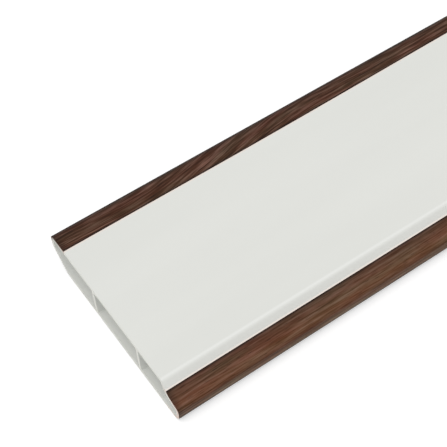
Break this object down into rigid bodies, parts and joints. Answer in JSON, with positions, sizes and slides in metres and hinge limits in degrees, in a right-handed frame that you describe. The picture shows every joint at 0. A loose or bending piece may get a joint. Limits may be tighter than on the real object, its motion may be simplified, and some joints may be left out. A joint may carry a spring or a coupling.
{
  "type": "skirting board",
  "caption": "Straight length of hollow plastic skirting board, film-wrapped over the front and round both long edges, with a bevelled top and a rebated foot.",
  "frame": {"origin": "centre of the bounding box in plan, on the plane the board lies on, which is the front face of its film", "axes": "+X along the board's length, away from the end the picture shows; +Y toward the top edge of the skirting; +Z out of its back, so the board lies on its front"},
  "size_m": [2.5, 0.08, 0.0155],
  "materials": {
    "rigid_pvc": "satin",
    "wood_film": "satin"
  },
  "bodies": {
    "root": {"hollow_profile": "rigid_pvc", "woodgrain_film": "wood_film"}
  },
  "joints": []
}
